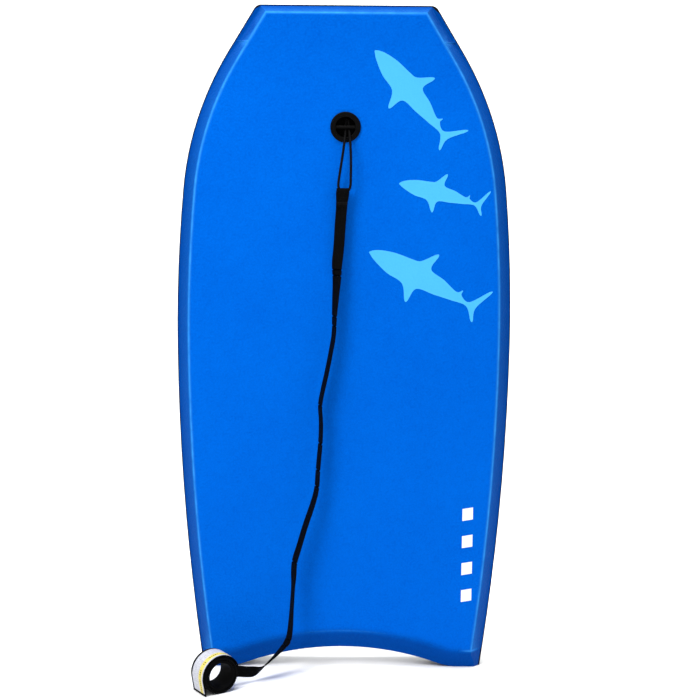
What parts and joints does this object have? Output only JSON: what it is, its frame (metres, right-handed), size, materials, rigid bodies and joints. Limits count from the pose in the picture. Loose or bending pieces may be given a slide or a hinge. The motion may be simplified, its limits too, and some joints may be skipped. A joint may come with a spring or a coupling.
{
  "type": "bodyboard",
  "caption": "Foam bodyboard with a square nose and crescent tail, standing on its tail, with a plugged-in webbing leash and a wrist cuff that opens.",
  "frame": {"origin": "middle of the board's footprint on the ground, leash and cuff apart", "axes": "+Z from tail to nose, the deck faces -Y, +X to the right of the deck"},
  "size_m": [0.4696, 0.176, 0.94],
  "materials": {
    "core_foam": "closed-cell expanded foam, fine beads",
    "deck_foam": "blue foam skin with a fine pebbled emboss",
    "slick_plastic": "smooth extruded sheet",
    "rail_foam": "dark foam skin, lightly pebbled",
    "plug_plastic": "moulded, satin",
    "cord_nylon": "braided cord",
    "webbing_nylon": "woven webbing",
    "cuff_neoprene": "knit-faced neoprene",
    "loop_tape": "brushed loop pile",
    "hook_tape": "moulded hooks",
    "label_print": "printed label, pale with a coloured stripe"
  },
  "bodies": {
    "board": {"foam_core": "core_foam", "deck_sheet": "deck_foam", "slick_bottom": "slick_plastic", "nose_rail_upper": "deck_foam", "nose_rail_lower": "rail_foam", "side_rail_upper_left": "deck_foam", "side_rail_upper_right": "deck_foam", "side_rail_lower_left": "rail_foam", "side_rail_lower_right": "rail_foam", "tail_rail_upper": "deck_foam", "tail_rail_lower": "rail_foam", "leash_plug": "plug_plastic", "leash_plug_base": "plug_plastic", "leash_string": "cord_nylon", "string_knot": "cord_nylon", "leash_eye": "webbing_nylon", "leash_webbing": "webbing_nylon", "leash_end_tab": "webbing_nylon", "cuff_band": "cuff_neoprene", "cuff_strap": "webbing_nylon", "cuff_loop_tape": "loop_tape"},
    "cuff_flap": {"cuff_flap": "webbing_nylon", "cuff_hook_tape": "hook_tape", "cuff_label": "label_print"}
  },
  "joints": [
    {"name": "cuff_flap_open", "type": "hinge", "parent": "board", "child": "cuff_flap", "pos_m": [-0.16082, -0.10014, 0.04756], "axis": [-0.5446, 0.8387, 0], "range_deg": [0, 110]}
  ]
}
